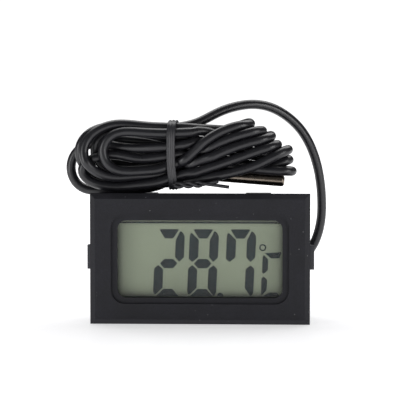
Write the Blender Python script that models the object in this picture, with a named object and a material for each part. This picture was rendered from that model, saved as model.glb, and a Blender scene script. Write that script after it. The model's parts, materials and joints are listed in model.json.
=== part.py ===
"""Panel-mount digital thermometer with a folded probe lead.

X runs to the right, Y from the front face to the back, Z up.  The unit stands on the
bottom edge of its bezel, with the origin under the middle of the case.
"""

from math import cos, pi, radians, sin

import bmesh
import bpy
from mathutils import Matrix, Vector

# ---- driving dimensions, in metres ----
GAP = 0.0003  # clearance between pieces that touch

BEZEL_WIDTH = 0.0480
BEZEL_HEIGHT = 0.0286
CASE_DEPTH = 0.0152
BEZEL_THICK = 0.0024
BEZEL_BEVEL = 0.0011
BEZEL_BEVEL_DEPTH = 0.0009
BEZEL_LIP_SIDE = 0.0012  # how far the bezel stands past the box behind it
BEZEL_LIP_TOP = 0.0011
WALL = 0.0014
FACE_THICK = 0.0016
REAR_THICK = 0.0014

WINDOW_WIDTH = 0.0360
WINDOW_HEIGHT = 0.0170
WINDOW_RADIUS = 0.0020
STEP_WIDTH = 0.0388
STEP_HEIGHT = 0.0195
STEP_RADIUS = 0.0030
STEP_DEPTH = 0.0006

LENS_LIP = 0.0014  # lens flange past the window opening
LENS_LIP_TOP = 0.0007
LENS_THICK = 0.0007
LENS_PAD = 0.0006  # raised pad that fills the window opening
GLASS_THICK = 0.0005
GLASS_OVERLAP = 0.0010  # glass past each side of the window
LEDGE = 0.0024  # contact ledge along the front glass's lower edge
REFLECTOR_THICK = 0.0002
FRAME_WALL_SIDE = 0.0012
FRAME_WALL_TOP = 0.0006
ZEBRA_HEIGHT = 0.0014
ZEBRA_MARGIN = 0.0020

BOARD_THICK = 0.0008
BOARD_MARGIN = 0.0003
POST_RADIUS = 0.00095
POST_INSET_X = 0.0041
POST_INSET_Z = 0.00125
SCREW_RADIUS = 0.0003
SCREW_LENGTH = 0.0032
SCREW_HEAD_RADIUS = 0.0008
SCREW_HEAD_THICK = 0.0007

CELL_RADIUS = 0.0058
CELL_THICK = 0.0054
CELL_GAP = 0.0004
CELL_CROWN = 0.0004
WELL_X = -0.0050
WELL_FLOOR = 0.0006
WELL_WALL = 0.0021
CONTACT_THICK = 0.0002
CONTACT_WIDTH = 0.0036
CONTACT_LENGTH = 0.0076
LEG_WIDTH = 0.0010
LEG_THICK = 0.0003
LINK_LENGTH = 0.0180
LINK_WIDTH = 0.0040

DOOR_THICK = 0.0011
DOOR_LAP = 0.0010  # door past the well on each side
DOOR_PAD_INSET = 0.0004
DOOR_SEAT = 0.0004  # from the door's inner face to the well's rim
DOOR_PIN_RADIUS = 0.0004
DOOR_PIN_LENGTH = 0.0009
DOOR_TONGUE_WIDTH = 0.0056
DOOR_TONGUE_RISE = 0.0010
GRIP_RIBS = 4
GRIP_PITCH = 0.0011

SNAP_X = 0.0126
SNAP_WIDTH = 0.0056
SNAP_LENGTH = 0.0042
SNAP_THICK = 0.0010
SNAP_PROUD = 0.0004

CLIP_HEIGHT = 0.0053
CLIP_Z = 0.0143
CLIP_THICK = 0.0011
CLIP_PROUD = 0.00095  # clip's free end past the bezel's side
PANEL_SPACE = 0.0025  # from the bezel's back to the clip's free end
CLIP_ROOT_BACK = 0.0010  # clip root in front of the rear cover

GLAND_X = 0.0172
GLAND_Z = 0.0080
GLAND_NECK_RADIUS = 0.0017
GLAND_COLLAR_RADIUS = 0.0024
GLAND_COLLAR_THICK = 0.0010
GLAND_TIP_RADIUS = 0.0015
GLAND_TAPER = 0.0028
CORE_RADIUS = 0.00035
CORE_SPACING = 0.0020
CORE_RISE = 0.0030
SOLDER_RADIUS = 0.0006
SOLDER_HEIGHT = 0.0005

LEAD_RADIUS = 0.00105
LEAD_STRAIGHT = 0.0021  # straight out of the gland
HANK_LEFT = -0.0298
HANK_RIGHT = 0.0216
HANK_HEIGHT = 0.0157
HANK_DEPTH = 0.0070
HANK_Y = -0.0006
HANK_STEP = 0.0065  # how much higher its underside is over the probe
HANK_REST = 0.0004  # hank above the snap tongues it rests by
TIE_X = -0.0060
TIE_WIDTH = 0.0020
TIE_THICK = 0.0008
TIE_HEIGHT = 0.0153
TIE_RISE = 0.0084  # tie's middle above the hank's underside
TAIL_RADIUS = 0.0007
TAIL_LENGTH = 0.0085

PROBE_RADIUS = 0.00125
PROBE_BORE = 0.00095
PROBE_LENGTH = 0.0195
PROBE_TILT = radians(4.5)
PROBE_END_X = 0.0184
PROBE_RISE = 0.0027  # nose above the hank's underside
PROBE_NOSE = 0.0006
PROBE_FLOOR = 0.0012
SEAL_LENGTH = 0.0021
BEAD_RADIUS = 0.0005

# the lead's open run past its straight start, to the top of the hank (x, y, z)
LEAD_ROUTE = (
    (0.0178, 0.0160, 0.0083),
    (0.0197, 0.0174, 0.0095), (0.0224, 0.0178, 0.0117), (0.0244, 0.0175, 0.0140),
    (0.0257, 0.0170, 0.0163), (0.0268, 0.0163, 0.0209), (0.0269, 0.0154, 0.0256),
    (0.0265, 0.0143, 0.0302), (0.0255, 0.0132, 0.0348), (0.0236, 0.0118, 0.0395),
    (0.0207, 0.0104, 0.0434), (0.0162, 0.0085, 0.0466), (0.0117, 0.0066, 0.0477),
    (0.0074, 0.0050, 0.0472), (0.0045, 0.0040, 0.0463), (0.0022, 0.0031, 0.0452),
)

# ---- places worked out from the dimensions ----
FRONT = -CASE_DEPTH / 2
REAR = CASE_DEPTH / 2
BEZEL_BACK = FRONT + BEZEL_THICK
FACE_BACK = FRONT + FACE_THICK
MID_Z = BEZEL_HEIGHT / 2
BOX_HALF = BEZEL_WIDTH / 2 - BEZEL_LIP_SIDE
BOX_LOW = BEZEL_LIP_TOP
BOX_HIGH = BEZEL_HEIGHT - BEZEL_LIP_TOP
INNER_HALF = BOX_HALF - WALL
INNER_LOW = BOX_LOW + WALL
INNER_HIGH = BOX_HIGH - WALL
COVER_FRONT = REAR - REAR_THICK
BOX_BACK = COVER_FRONT - GAP

LENS_FRONT = FACE_BACK + GAP
LENS_BACK = LENS_FRONT + LENS_THICK
GLASS_1 = LENS_BACK + GAP
GLASS_2 = GLASS_1 + GLASS_THICK + GAP
REFLECTOR = GLASS_2 + GLASS_THICK + GAP
BOARD_FRONT = REFLECTOR + REFLECTOR_THICK + 0.0004
BOARD_BACK = BOARD_FRONT + BOARD_THICK
GLASS_HALF = WINDOW_WIDTH / 2 + GLASS_OVERLAP
GLASS_LOW = MID_Z - WINDOW_HEIGHT / 2
GLASS_HIGH = MID_Z + WINDOW_HEIGHT / 2

DOOR_FRONT = REAR - DOOR_THICK
LINK_FRONT = DOOR_FRONT - 2 * GAP - CONTACT_THICK
CELL_BACK = LINK_FRONT - GAP
CELL_FRONT = CELL_BACK - CELL_THICK
CONTACT_FRONT = CELL_FRONT - GAP - CONTACT_THICK
WELL_FRONT = CONTACT_FRONT - GAP - WELL_FLOOR
WELL_Z = MID_Z
CELL_STEP = CELL_RADIUS + CELL_GAP / 2
WELL_HALF_X = CELL_STEP + CELL_RADIUS + CELL_GAP
WELL_HALF_Z = CELL_RADIUS + CELL_GAP
DOOR_HALF_X = WELL_HALF_X + DOOR_LAP
DOOR_HALF_Z = WELL_HALF_Z + DOOR_LAP
HINGE_Y = REAR - DOOR_THICK / 2
HINGE_Z = WELL_Z - DOOR_HALF_Z + DOOR_THICK / 2

CLIP_PIVOT = (BOX_HALF - WALL / 2, COVER_FRONT - GAP - CLIP_ROOT_BACK)
CLIP_TIP_Y = BEZEL_BACK + PANEL_SPACE
CLIP_TIP_X = BEZEL_WIDTH / 2 + CLIP_PROUD
HANK_LOW_LEFT = BOX_HIGH + SNAP_PROUD + HANK_REST
HANK_LOW_RIGHT = HANK_LOW_LEFT + HANK_STEP
HANK_TOP = HANK_LOW_LEFT + HANK_HEIGHT
TIE_Z = HANK_LOW_LEFT + TIE_RISE
PROBE_END_Z = HANK_LOW_LEFT + PROBE_RISE
GLAND_INNER = COVER_FRONT - GAP - GLAND_COLLAR_THICK
GLAND_TIP = REAR + GAP + GLAND_COLLAR_THICK + GLAND_TAPER

PLASTIC_BLACK = ((0.030, 0.030, 0.036), 0.55, 0.0)
PLASTIC_GREY = ((0.075, 0.076, 0.086), 0.50, 0.0)
CLEAR = ((0.55, 0.58, 0.54), 0.08, 0.0)
LCD_GREEN = ((0.20, 0.23, 0.19), 0.25, 0.0)
SILVER = ((0.62, 0.61, 0.58), 0.28, 1.0)
STEEL = ((0.36, 0.34, 0.32), 0.22, 1.0)
BRASS = ((0.60, 0.45, 0.20), 0.30, 1.0)
SOLDER = ((0.55, 0.55, 0.56), 0.35, 1.0)
BOARD_GREEN = ((0.03, 0.16, 0.06), 0.45, 0.0)
EPOXY = ((0.012, 0.012, 0.012), 0.30, 0.0)
CERAMIC = ((0.42, 0.30, 0.18), 0.40, 0.0)
RUBBER = ((0.018, 0.018, 0.020), 0.60, 0.0)
PVC = ((0.014, 0.014, 0.016), 0.32, 0.0)
WIRE_RED = ((0.40, 0.02, 0.02), 0.40, 0.0)


def clear_scene():
    """Remove what the file opens with."""
    for obj in list(bpy.data.objects):
        bpy.data.objects.remove(obj, do_unlink=True)


def finish(name, look):
    """Make a Principled material from (colour, roughness, metallic)."""
    colour, rough, metal = look
    made = bpy.data.materials.new(name)
    made.use_nodes = True
    shader = made.node_tree.nodes["Principled BSDF"]
    shader.inputs["Base Color"].default_value = (*colour, 1.0)
    shader.inputs["Roughness"].default_value = rough
    shader.inputs["Metallic"].default_value = metal
    return made


def add(name, bm, look, smooth=False):
    """Turn a bmesh into a named object with its own material."""
    bmesh.ops.remove_doubles(bm, verts=bm.verts, dist=1e-7)
    bmesh.ops.recalc_face_normals(bm, faces=bm.faces)
    mesh = bpy.data.meshes.new(name)
    bm.to_mesh(mesh)
    bm.free()
    if smooth:
        mesh.shade_smooth()
        mesh.set_sharp_from_angle(angle=radians(40))
    obj = bpy.data.objects.new(name, mesh)
    bpy.context.collection.objects.link(obj)
    if look is not None:
        mesh.materials.append(finish(name, look))
    return obj


def box_mesh(low, high):
    """A box between two corners."""
    bm = bmesh.new()
    bmesh.ops.create_cube(bm, size=1.0)
    size = Vector(high) - Vector(low)
    middle = (Vector(high) + Vector(low)) / 2
    for vert in bm.verts:
        vert.co = Vector(a * b for a, b in zip(vert.co, size)) + middle
    return bm


def rounded(width, height, radius, centre=(0.0, MID_Z), steps=6):
    """Outline of a rectangle with round corners, as (x, z) points."""
    points = []
    for turn, (sx, sz) in enumerate(((1, 1), (-1, 1), (-1, -1), (1, -1))):
        cx = centre[0] + sx * (width / 2 - radius)
        cz = centre[1] + sz * (height / 2 - radius)
        for step in range(steps + 1):
            angle = (turn + step / steps) * pi / 2
            points.append((cx + radius * cos(angle), cz + radius * sin(angle)))
    return points


def slab(outline, y_front, y_back):
    """Extrude an (x, z) outline along Y."""
    bm = bmesh.new()
    rings = [[bm.verts.new((x, y, z)) for x, z in outline] for y in (y_front, y_back)]
    bm.faces.new(rings[0])
    bm.faces.new(rings[1])
    count = len(outline)
    for i in range(count):
        j = (i + 1) % count
        bm.faces.new((rings[0][i], rings[0][j], rings[1][j], rings[1][i]))
    return bm


def deck(outline, z_low, z_high):
    """Extrude an (x, y) outline along Z."""
    bm = slab(outline, z_low, z_high)
    for vert in bm.verts:
        vert.co = Vector((vert.co.x, vert.co.z, vert.co.y))
    return bm


def turned(profile, start, direction, steps=32):
    """Turn (radius, distance) points about an axis that leaves start along direction."""
    bm = bmesh.new()
    rings = []
    for radius, along in profile:
        if radius == 0:
            rings.append([bm.verts.new((0, 0, along))])
            continue
        ring = []
        for step in range(steps):
            angle = 2 * pi * step / steps
            ring.append(bm.verts.new((radius * cos(angle), radius * sin(angle), along)))
        rings.append(ring)
    for first, second in zip(rings, rings[1:]):
        for i in range(steps):
            j = (i + 1) % steps
            corners = [first[i % len(first)], first[j % len(first)]]
            corners += [second[j % len(second)], second[i % len(second)]]
            bm.faces.new(dict.fromkeys(corners))
    for ring in (rings[0], rings[-1]):
        if len(ring) > 1:
            bm.faces.new(ring)
    turn = Vector(direction).to_track_quat("Z", "Y").to_matrix().to_4x4()
    bmesh.ops.transform(bm, matrix=Matrix.Translation(start) @ turn, verts=bm.verts)
    return bm


def rod(radius, start, end, steps=24):
    """A plain cylinder between two points."""
    length = (Vector(end) - Vector(start)).length
    return turned(((radius, 0), (radius, length)), start, Vector(end) - Vector(start), steps)


def boolean(target, bm, operation):
    """Join a shape to target, or cut it out, with a live modifier."""
    tool = add(f"{target.name}_tool", bm, None)
    tool.hide_render = True
    tool.display_type = "WIRE"
    change = target.modifiers.new(operation.lower(), "BOOLEAN")
    change.operation = operation
    change.object = tool


def cut(target, bm):
    """Cut a shape out of target."""
    boolean(target, bm, "DIFFERENCE")


def weld(target, bm):
    """Join a shape to target."""
    boolean(target, bm, "UNION")


def pivot(name, place, pieces):
    """Put an empty on a joint's axis and parent its pieces to it."""
    empty = bpy.data.objects.new(name, None)
    empty.empty_display_size = 0.004
    empty.location = place
    bpy.context.collection.objects.link(empty)
    bpy.context.view_layer.update()
    for piece in pieces:
        piece.parent = empty
        piece.matrix_parent_inverse = empty.matrix_world.inverted()


def screw_places():
    """The (x, z) of the four board screws, on posts along the box's walls."""
    x = INNER_HALF - POST_INSET_X
    return [(sx * x, z) for sx in (-1, 1) for z in (INNER_LOW + POST_INSET_Z, INNER_HIGH - POST_INSET_Z)]


def clip_slot_outline(side):
    """(x, y) outline of the slot that a clip flexes into, open at the back."""
    inner, outer = INNER_HALF - GAP, BEZEL_WIDTH
    front = BEZEL_BACK + GAP
    return [(side * x, y) for x, y in ((inner, front), (outer, front), (outer, REAR), (inner, REAR))]


def front_case():
    """Bezel with a bevelled face, window and step, and the box behind it."""
    half = BEZEL_WIDTH / 2
    flat = (BEZEL_WIDTH - 2 * BEZEL_BEVEL, BEZEL_HEIGHT - 2 * BEZEL_BEVEL)
    bm = bmesh.new()
    rings = []
    for y, width, height in (
        (FRONT, *flat),
        (FRONT + BEZEL_BEVEL_DEPTH, BEZEL_WIDTH, BEZEL_HEIGHT),
        (BEZEL_BACK, BEZEL_WIDTH, BEZEL_HEIGHT),
    ):
        corners = ((-1, -1), (1, -1), (1, 1), (-1, 1))
        rings.append([bm.verts.new((sx * width / 2, y, MID_Z + sz * height / 2)) for sx, sz in corners])
    for first, second in zip(rings, rings[1:]):
        for i in range(4):
            j = (i + 1) % 4
            bm.faces.new((first[i], first[j], second[j], second[i]))
    bm.faces.new(rings[0])
    bm.faces.new(rings[-1])
    case = add("front_case", bm, PLASTIC_BLACK)
    weld(case, box_mesh((-BOX_HALF, BEZEL_BACK - WALL / 2, BOX_LOW), (BOX_HALF, BOX_BACK, BOX_HIGH)))
    cut(case, box_mesh((-INNER_HALF, FACE_BACK, INNER_LOW), (INNER_HALF, REAR, INNER_HIGH)))
    cut(case, slab(rounded(WINDOW_WIDTH, WINDOW_HEIGHT, WINDOW_RADIUS), 2 * FRONT, BOX_BACK))
    cut(case, slab(rounded(STEP_WIDTH, STEP_HEIGHT, STEP_RADIUS), 2 * FRONT, FRONT + STEP_DEPTH))
    for x, z in screw_places():
        weld(case, rod(POST_RADIUS, (x, FACE_BACK - WALL / 2, z), (x, BOARD_FRONT - GAP, z)))
    for x, z in screw_places():
        deepest = max(FACE_BACK, BOARD_BACK + GAP - SCREW_LENGTH - 2 * GAP)
        cut(case, rod(SCREW_RADIUS + GAP, (x, deepest, z), (x, REAR, z), 12))
    for side in (-1, 1):
        low, high = CLIP_Z - CLIP_HEIGHT / 2 - GAP, CLIP_Z + CLIP_HEIGHT / 2 + GAP
        cut(case, deck(clip_slot_outline(side), low, high))
        x = side * SNAP_X
        half = SNAP_WIDTH / 2 + GAP
        low_corner = (x - half, COVER_FRONT - SNAP_LENGTH - GAP, BOX_HIGH - SNAP_THICK - GAP)
        cut(case, box_mesh(low_corner, (x + half, REAR, BEZEL_HEIGHT + WALL)))
    return case


def window_and_lcd():
    """Clear window, the two LCD glasses, the reflector, their frame and the zebra strip."""
    lens_low = GLASS_LOW - LENS_LIP_TOP
    lens_high = GLASS_HIGH + LENS_LIP_TOP
    lens_half = WINDOW_WIDTH / 2 + LENS_LIP
    plate = box_mesh((-lens_half, LENS_FRONT, lens_low), (lens_half, LENS_BACK, lens_high))
    lens = add("window_lens", plate, CLEAR)
    pad = rounded(WINDOW_WIDTH - 2 * GAP, WINDOW_HEIGHT - 2 * GAP, WINDOW_RADIUS - GAP)
    weld(lens, slab(pad, LENS_FRONT - LENS_PAD, LENS_FRONT + LENS_THICK / 2))
    x = GLASS_HALF
    low, high = (-x, GLASS_1, GLASS_LOW), (x, GLASS_1 + GLASS_THICK, GLASS_HIGH)
    add("lcd_front_glass", box_mesh(low, high), CLEAR)
    low, high = (-x, GLASS_2, GLASS_LOW + LEDGE), (x, GLASS_2 + GLASS_THICK, GLASS_HIGH)
    add("lcd_rear_glass", box_mesh(low, high), LCD_GREEN)
    low, high = (-x, REFLECTOR, GLASS_LOW + LEDGE), (x, REFLECTOR + REFLECTOR_THICK, GLASS_HIGH)
    add("lcd_reflector", box_mesh(low, high), SILVER)
    inner = (x + GAP, GLASS_LOW - GAP, GLASS_HIGH + GAP)
    frame_back = BOARD_FRONT - GAP
    low = (-inner[0] - FRAME_WALL_SIDE, GLASS_1, inner[1] - FRAME_WALL_TOP)
    high = (inner[0] + FRAME_WALL_SIDE, frame_back, inner[2] + FRAME_WALL_TOP)
    frame = add("lcd_frame", box_mesh(low, high), PLASTIC_GREY)
    cut(frame, box_mesh((-inner[0], 2 * FRONT, inner[1]), (inner[0], REAR, inner[2])))
    for piece in (lens, frame):
        for px, pz in screw_places():
            cut(piece, rod(POST_RADIUS + GAP, (px, 2 * FRONT, pz), (px, REAR, pz)))
    half = x - ZEBRA_MARGIN
    middle = GLASS_LOW + (LEDGE - GAP) / 2
    low = (-half, GLASS_1 + GLASS_THICK + GAP, middle - ZEBRA_HEIGHT / 2)
    add("zebra_strip", box_mesh(low, (half, BOARD_FRONT - GAP, middle + ZEBRA_HEIGHT / 2)), RUBBER)


def board_and_parts():
    """Circuit board with its chip, small parts, and the screws that hold it."""
    half = INNER_HALF - BOARD_MARGIN - GAP
    low = (-half, BOARD_FRONT, INNER_LOW + BOARD_MARGIN)
    board = add("circuit_board", box_mesh(low, (half, BOARD_BACK, INNER_HIGH - BOARD_MARGIN)), BOARD_GREEN)
    for number, (x, z) in enumerate(screw_places(), 1):
        cut(board, rod(SCREW_RADIUS + GAP, (x, FRONT, z), (x, REAR, z), 12))
        head = BOARD_BACK + GAP
        profile = (
            (SCREW_RADIUS * 0.5, -SCREW_LENGTH), (SCREW_RADIUS, -SCREW_LENGTH + SCREW_RADIUS),
            (SCREW_RADIUS, 0), (SCREW_HEAD_RADIUS, 0), (SCREW_HEAD_RADIUS, SCREW_HEAD_THICK * 0.5),
            (SCREW_HEAD_RADIUS * 0.7, SCREW_HEAD_THICK),
        )
        add(f"board_screw_{number}", turned(profile, (x, head, z), (0, 1, 0), 16), STEEL, True)
    right = WELL_X + WELL_HALF_X + WELL_WALL
    free = (right + half) / 2
    blob = BOARD_BACK + GAP
    radius, rise = 0.0032, 0.0012
    dome = [(radius * cos(a), rise * sin(a)) for a in (0, 0.35, 0.7, 1.05, 1.3)] + [(0, rise)]
    add("chip_blob", turned(dome, (free, blob, MID_Z + 0.0015), (0, 1, 0), 24), EPOXY, True)
    size = Vector((0.0020, 0.0008, 0.0012))
    low_row = INNER_HIGH - 0.0042
    for number, (name, look, x) in enumerate((
        ("capacitor_1", CERAMIC, free - 0.0022), ("capacitor_2", CERAMIC, free + 0.0006),
    )):
        low = Vector((x, blob, low_row))
        add(name, box_mesh(low, low + size), look)
    for number in (1, 2):
        low = Vector((free - 0.0050 + 0.0028 * number, blob, low_row - 0.0020))
        add(f"resistor_{number}", box_mesh(low, low + size), EPOXY)


def rear_cover():
    """Back plate with the battery well, hinge notches, gland hole and snap tongues."""
    low, high = (-BOX_HALF, COVER_FRONT, BOX_LOW), (BOX_HALF, REAR, BOX_HIGH)
    cover = add("rear_cover", box_mesh(low, high), PLASTIC_BLACK)
    out_x, out_z = WELL_HALF_X + WELL_WALL, WELL_HALF_Z + WELL_WALL
    low = (WELL_X - out_x, WELL_FRONT, WELL_Z - out_z)
    weld(cover, box_mesh(low, (WELL_X + out_x, COVER_FRONT + REAR_THICK / 2, WELL_Z + out_z)))
    low = (WELL_X - WELL_HALF_X, WELL_FRONT + WELL_FLOOR, WELL_Z - WELL_HALF_Z)
    cut(cover, box_mesh(low, (WELL_X + WELL_HALF_X, 2 * REAR, WELL_Z + WELL_HALF_Z)))
    open_x, open_z = DOOR_HALF_X + GAP, DOOR_HALF_Z + GAP
    low = (WELL_X - open_x, DOOR_FRONT - DOOR_SEAT, WELL_Z - open_z)
    cut(cover, box_mesh(low, (WELL_X + open_x, 2 * REAR, WELL_Z + open_z)))
    notch = DOOR_PIN_RADIUS + GAP
    reach = DOOR_HALF_X + DOOR_PIN_LENGTH + GAP
    low = (WELL_X - reach, HINGE_Y - notch, HINGE_Z - notch)
    cut(cover, box_mesh(low, (WELL_X + reach, 2 * REAR, HINGE_Z + notch)))
    half = DOOR_TONGUE_WIDTH / 2 + GAP
    low = (WELL_X - half, DOOR_FRONT - DOOR_SEAT / 2, WELL_Z)
    cut(cover, box_mesh(low, (WELL_X + half, 2 * REAR, WELL_Z + open_z + DOOR_TONGUE_RISE + GAP)))
    for side in (-1, 1):
        x = WELL_X + side * CELL_STEP
        hole = (LEG_WIDTH / 2 + GAP, LEG_THICK / 2 + GAP)
        z = WELL_Z - CONTACT_LENGTH / 2 + LEG_THICK / 2
        low = (x - hole[0], FRONT, z - hole[1])
        cut(cover, box_mesh(low, (x + hole[0], CELL_FRONT, z + hole[1])))
        x = side * SNAP_X
        low = (x - SNAP_WIDTH / 2, COVER_FRONT - SNAP_LENGTH, BOX_HIGH - SNAP_THICK)
        high = (x + SNAP_WIDTH / 2, COVER_FRONT + REAR_THICK / 2, BOX_HIGH + SNAP_PROUD)
        weld(cover, box_mesh(low, high))
    hole = GLAND_NECK_RADIUS + GAP
    cut(cover, rod(hole, (GLAND_X, 0, GLAND_Z), (GLAND_X, 2 * REAR, GLAND_Z)))
    return cover


def battery_door():
    """Door with a rounded hinge edge, side pins, latch tongue, inner pad and grip ribs."""
    radius = DOOR_THICK / 2
    top = WELL_Z + DOOR_HALF_Z
    arc = arc_points((HINGE_Y, HINGE_Z), radius, pi, 8)
    outline = arc + [(REAR, top), (DOOR_FRONT, top)]
    bm = slab([(y, z) for y, z in outline], WELL_X - DOOR_HALF_X, WELL_X + DOOR_HALF_X)
    for vert in bm.verts:
        vert.co = Vector((vert.co.y, vert.co.x, vert.co.z))
    door = add("battery_door", bm, PLASTIC_BLACK, True)
    for side in (-1, 1):
        end = WELL_X + side * (DOOR_HALF_X + DOOR_PIN_LENGTH)
        start = WELL_X + side * (DOOR_HALF_X - DOOR_PIN_LENGTH)
        weld(door, rod(DOOR_PIN_RADIUS, (start, HINGE_Y, HINGE_Z), (end, HINGE_Y, HINGE_Z), 16))
    half = DOOR_TONGUE_WIDTH / 2
    low = (WELL_X - half, DOOR_FRONT, top - DOOR_THICK)
    weld(door, box_mesh(low, (WELL_X + half, REAR - DOOR_THICK / 3, top + DOOR_TONGUE_RISE)))
    pad_x, pad_z = WELL_HALF_X - DOOR_PAD_INSET, WELL_HALF_Z - DOOR_PAD_INSET
    hinge_room = 0.0016
    low = (WELL_X - pad_x, DOOR_FRONT - GAP, WELL_Z - pad_z + hinge_room)
    weld(door, box_mesh(low, (WELL_X + pad_x, REAR - DOOR_THICK / 2, WELL_Z + pad_z)))
    for rib in range(GRIP_RIBS):
        z = top - DOOR_THICK - rib * GRIP_PITCH
        groove = box_mesh((WELL_X - half, REAR - DOOR_THICK / 3, z - GRIP_PITCH / 4),
                          (WELL_X + half, 2 * REAR, z + GRIP_PITCH / 4))
        cut(door, groove)
    low = (WELL_X - LINK_LENGTH / 2, LINK_FRONT, WELL_Z - LINK_WIDTH / 2)
    high = (WELL_X + LINK_LENGTH / 2, LINK_FRONT + CONTACT_THICK, WELL_Z + LINK_WIDTH / 2)
    link = add("door_contact", box_mesh(low, high), BRASS)
    pivot("battery_door_hinge", (WELL_X, HINGE_Y, HINGE_Z), (door, link))


def cells_and_contacts():
    """Two button cells in the well, with a contact leaf under each."""
    for number, (side, pole) in enumerate(((-1, "positive"), (1, "negative")), 1):
        x = WELL_X + side * CELL_STEP
        profile = (
            (CELL_RADIUS * 0.82, 0), (CELL_RADIUS * 0.86, CELL_CROWN), (CELL_RADIUS - CELL_CROWN, CELL_CROWN),
            (CELL_RADIUS, 2 * CELL_CROWN), (CELL_RADIUS, CELL_THICK - CELL_CROWN),
            (CELL_RADIUS - CELL_CROWN, CELL_THICK),
        )
        start, way = (x, CELL_FRONT, WELL_Z), (0, 1, 0)
        if side > 0:
            start, way = (x, CELL_BACK, WELL_Z), (0, -1, 0)
        add(f"battery_cell_{number}", turned(profile, start, way, 48), STEEL, True)
        low = (x - CONTACT_WIDTH / 2, CONTACT_FRONT, WELL_Z - CONTACT_LENGTH / 2)
        high = (x + CONTACT_WIDTH / 2, CONTACT_FRONT + CONTACT_THICK, WELL_Z + CONTACT_LENGTH / 2)
        leaf = add(f"contact_{pole}", box_mesh(low, high), BRASS)
        z = WELL_Z - CONTACT_LENGTH / 2
        low = (x - LEG_WIDTH / 2, BOARD_BACK + GAP, z)
        weld(leaf, box_mesh(low, (x + LEG_WIDTH / 2, CONTACT_FRONT + CONTACT_THICK / 2, z + LEG_THICK)))


def panel_clip(side, name):
    """Spring arm rooted beside the rear cover, with its free end out past the bezel."""
    root_x, root_y = CLIP_PIVOT
    half = CLIP_THICK / 2
    outline = (
        (root_x - half, root_y + half), (root_x + half, root_y + half),
        (root_x + half, root_y - half), (CLIP_TIP_X, CLIP_TIP_Y + CLIP_THICK),
        (CLIP_TIP_X, CLIP_TIP_Y), (CLIP_TIP_X - CLIP_THICK, CLIP_TIP_Y),
        (root_x - half, root_y - CLIP_THICK),
    )
    low, high = CLIP_Z - CLIP_HEIGHT / 2, CLIP_Z + CLIP_HEIGHT / 2
    clip = add(f"panel_clip_{name}", deck([(side * x, y) for x, y in outline], low, high), PLASTIC_GREY)
    pivot(f"clip_{name}_root", (side * root_x, root_y, CLIP_Z), (clip,))


def gland_and_cores():
    """Rubber gland through the rear cover, and the two cores from it to the board."""
    inner = GLAND_INNER
    collar = REAR + GAP - inner
    tip = GLAND_TIP - inner
    profile = (
        (GLAND_COLLAR_RADIUS, 0), (GLAND_COLLAR_RADIUS, GLAND_COLLAR_THICK),
        (GLAND_NECK_RADIUS, GLAND_COLLAR_THICK), (GLAND_NECK_RADIUS, collar),
        (GLAND_COLLAR_RADIUS, collar), (GLAND_COLLAR_RADIUS, collar + GLAND_COLLAR_THICK * 0.7),
        (GLAND_COLLAR_RADIUS * 0.86, collar + GLAND_COLLAR_THICK), (GLAND_TIP_RADIUS, tip),
    )
    add("cord_gland", turned(profile, (GLAND_X, inner, GLAND_Z), (0, 1, 0), 24), RUBBER, True)
    for number, side in ((1, -1), (2, 1)):
        x = GLAND_X + side * CORE_SPACING / 2
        solder_y = BOARD_BACK + GAP
        end = (x, solder_y + SOLDER_HEIGHT + GAP, GLAND_Z + CORE_RISE)
        points = (
            (x, inner - GAP, GLAND_Z), (x, inner - 4 * GAP, GLAND_Z),
            (x, (inner + end[1]) / 2, GLAND_Z + CORE_RISE / 2), (x, end[1] + 0.0010, end[2]), end,
        )
        cord(f"lead_core_{number}", smooth_route(points, 12), CORE_RADIUS, (WIRE_RED, PVC)[number - 1])
        top = (
            (SOLDER_RADIUS, 0), (SOLDER_RADIUS * 0.7, SOLDER_HEIGHT * 0.6),
            (SOLDER_RADIUS * 0.3, SOLDER_HEIGHT),
        )
        add(f"solder_joint_{number}", turned(top, (x, solder_y, end[2]), (0, 1, 0), 12), SOLDER, True)


def smooth_route(points, count):
    """Points at equal steps along a Catmull-Rom curve through the given ones."""
    knots = [Vector(p) for p in points]
    knots = [2 * knots[0] - knots[1]] + knots + [2 * knots[-1] - knots[-2]]
    fine = []
    for a, b, c, d in zip(knots, knots[1:], knots[2:], knots[3:]):
        for step in range(24):
            t = step / 24
            square, cube = 2 * a - 5 * b + 4 * c - d, 3 * b - a - 3 * c + d
            fine.append(0.5 * (2 * b + (c - a) * t + square * t**2 + cube * t**3))
    fine.append(knots[-2])
    lengths = [0.0]
    for first, second in zip(fine, fine[1:]):
        lengths.append(lengths[-1] + (second - first).length)
    route, i = [], 0
    for step in range(count):
        want = lengths[-1] * step / (count - 1)
        while i < len(fine) - 2 and lengths[i + 1] < want:
            i += 1
        share = (want - lengths[i]) / (lengths[i + 1] - lengths[i])
        route.append(fine[i].lerp(fine[i + 1], min(max(share, 0.0), 1.0)))
    return route


def cord(name, route, radius, look):
    """A round tube along a route, as a bevelled curve with filled caps."""
    curve = bpy.data.curves.new(name, "CURVE")
    curve.dimensions = "3D"
    curve.bevel_depth = radius
    curve.bevel_resolution = 2
    curve.use_fill_caps = True
    spline = curve.splines.new("POLY")
    spline.points.add(len(route) - 1)
    for point, place in zip(spline.points, route):
        point.co = (*place, 1.0)
    obj = bpy.data.objects.new(name, curve)
    bpy.context.collection.objects.link(obj)
    curve.materials.append(finish(name, look))
    return obj


def arc_points(centre, radius, start, steps):
    """Half a circle about a centre, anticlockwise from the start angle."""
    angles = [start + i * pi / steps for i in range(steps + 1)]
    return [(centre[0] + radius * cos(a), centre[1] + radius * sin(a)) for a in angles]


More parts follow.
